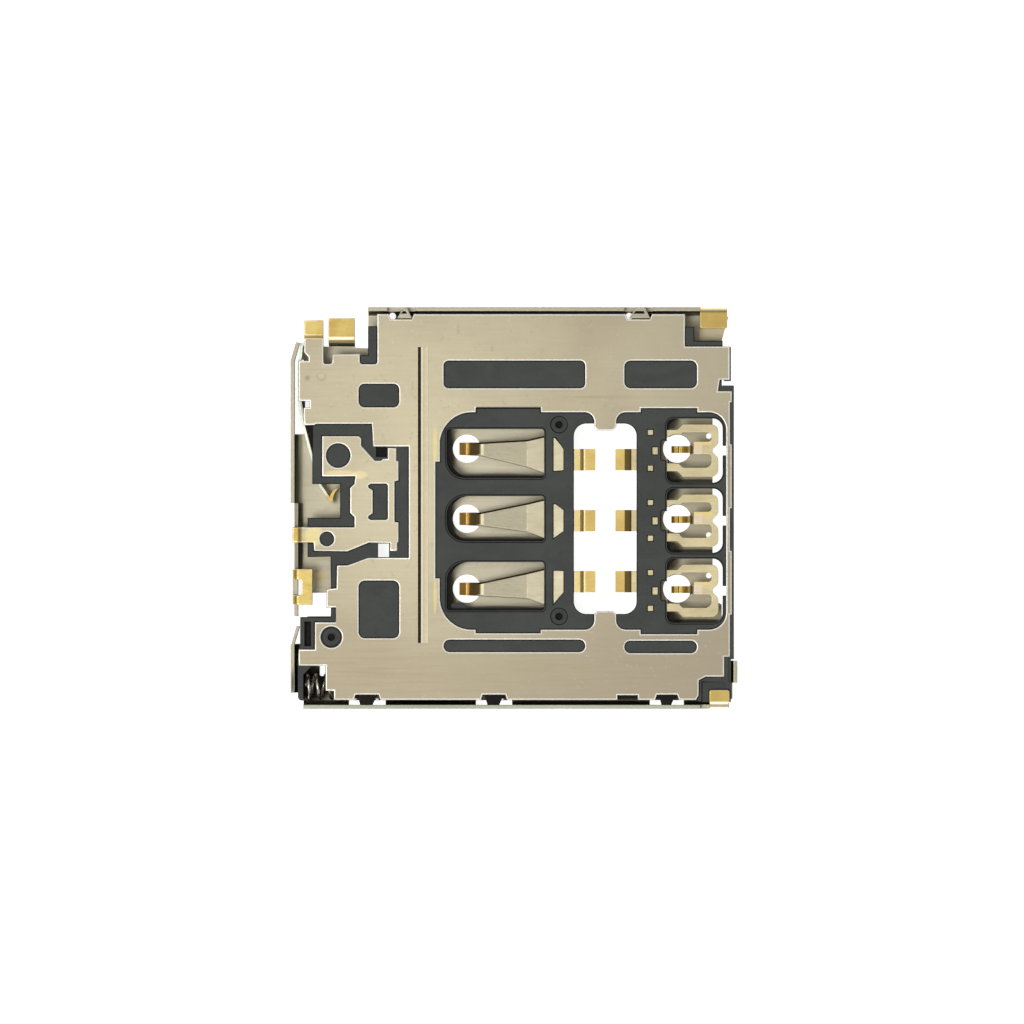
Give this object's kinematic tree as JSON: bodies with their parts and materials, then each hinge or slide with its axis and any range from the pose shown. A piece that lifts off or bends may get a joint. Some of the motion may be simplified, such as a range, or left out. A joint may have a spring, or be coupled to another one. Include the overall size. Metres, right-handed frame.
{
  "type": "push-push sim card socket",
  "caption": "Surface-mount push-push socket for a micro card, seen from its solder side: steel cover, moulded frame with plate, spring contacts, card-detect switch, sprung slider.",
  "frame": {"origin": "middle of the outer box's base: the cover's outer face, which lies on the table", "axes": "+X out of the card mouth along the card, +Y across the card away from the spring side, +Z out of the solder side"},
  "size_m": [0.0162, 0.0146, 0.0014],
  "materials": {
    "cover_steel": "satin stainless sheet, gold-plated solder feet",
    "nickel_silver": "satin rolled strip with bright cut edges",
    "moulding": "matt glass-filled polymer",
    "contact_metal": "nickel-plated copper alloy, gold on tips and tails",
    "spring_wire": "drawn spring wire"
  },
  "bodies": {
    "socket": {"cover": "cover_steel", "base_plate": "nickel_silver", "housing": "moulding", "contact_c1": "contact_metal", "contact_c2": "contact_metal", "contact_c3": "contact_metal", "contact_c5": "contact_metal", "contact_c6": "contact_metal", "contact_c7": "contact_metal", "detect_terminal": "nickel_silver", "detect_spring": "contact_metal", "eject_spring": "spring_wire"},
    "slider": {"slider": "moulding"},
    "cam_pin": {"cam_pin": "spring_wire"}
  },
  "joints": [
    {"name": "slider_slide", "type": "slide", "parent": "socket", "child": "slider", "axis": [-1, 0, 0], "range_m": [0, 0.00535], "stiffness_N_per_m": 230, "springref_m": -0.001, "deforming": ["eject_spring"]},
    {"name": "cam_pin_swing", "type": "hinge", "parent": "socket", "child": "cam_pin", "pos_m": [0.0073, -0.00614, 0.0006], "axis": [0, 0, 1], "range_deg": [0, 3.62]}
  ],
  "couplings": [
    {"joint": "cam_pin_swing", "follows": "slider_slide", "rad_per_m": 11.782}
  ]
}
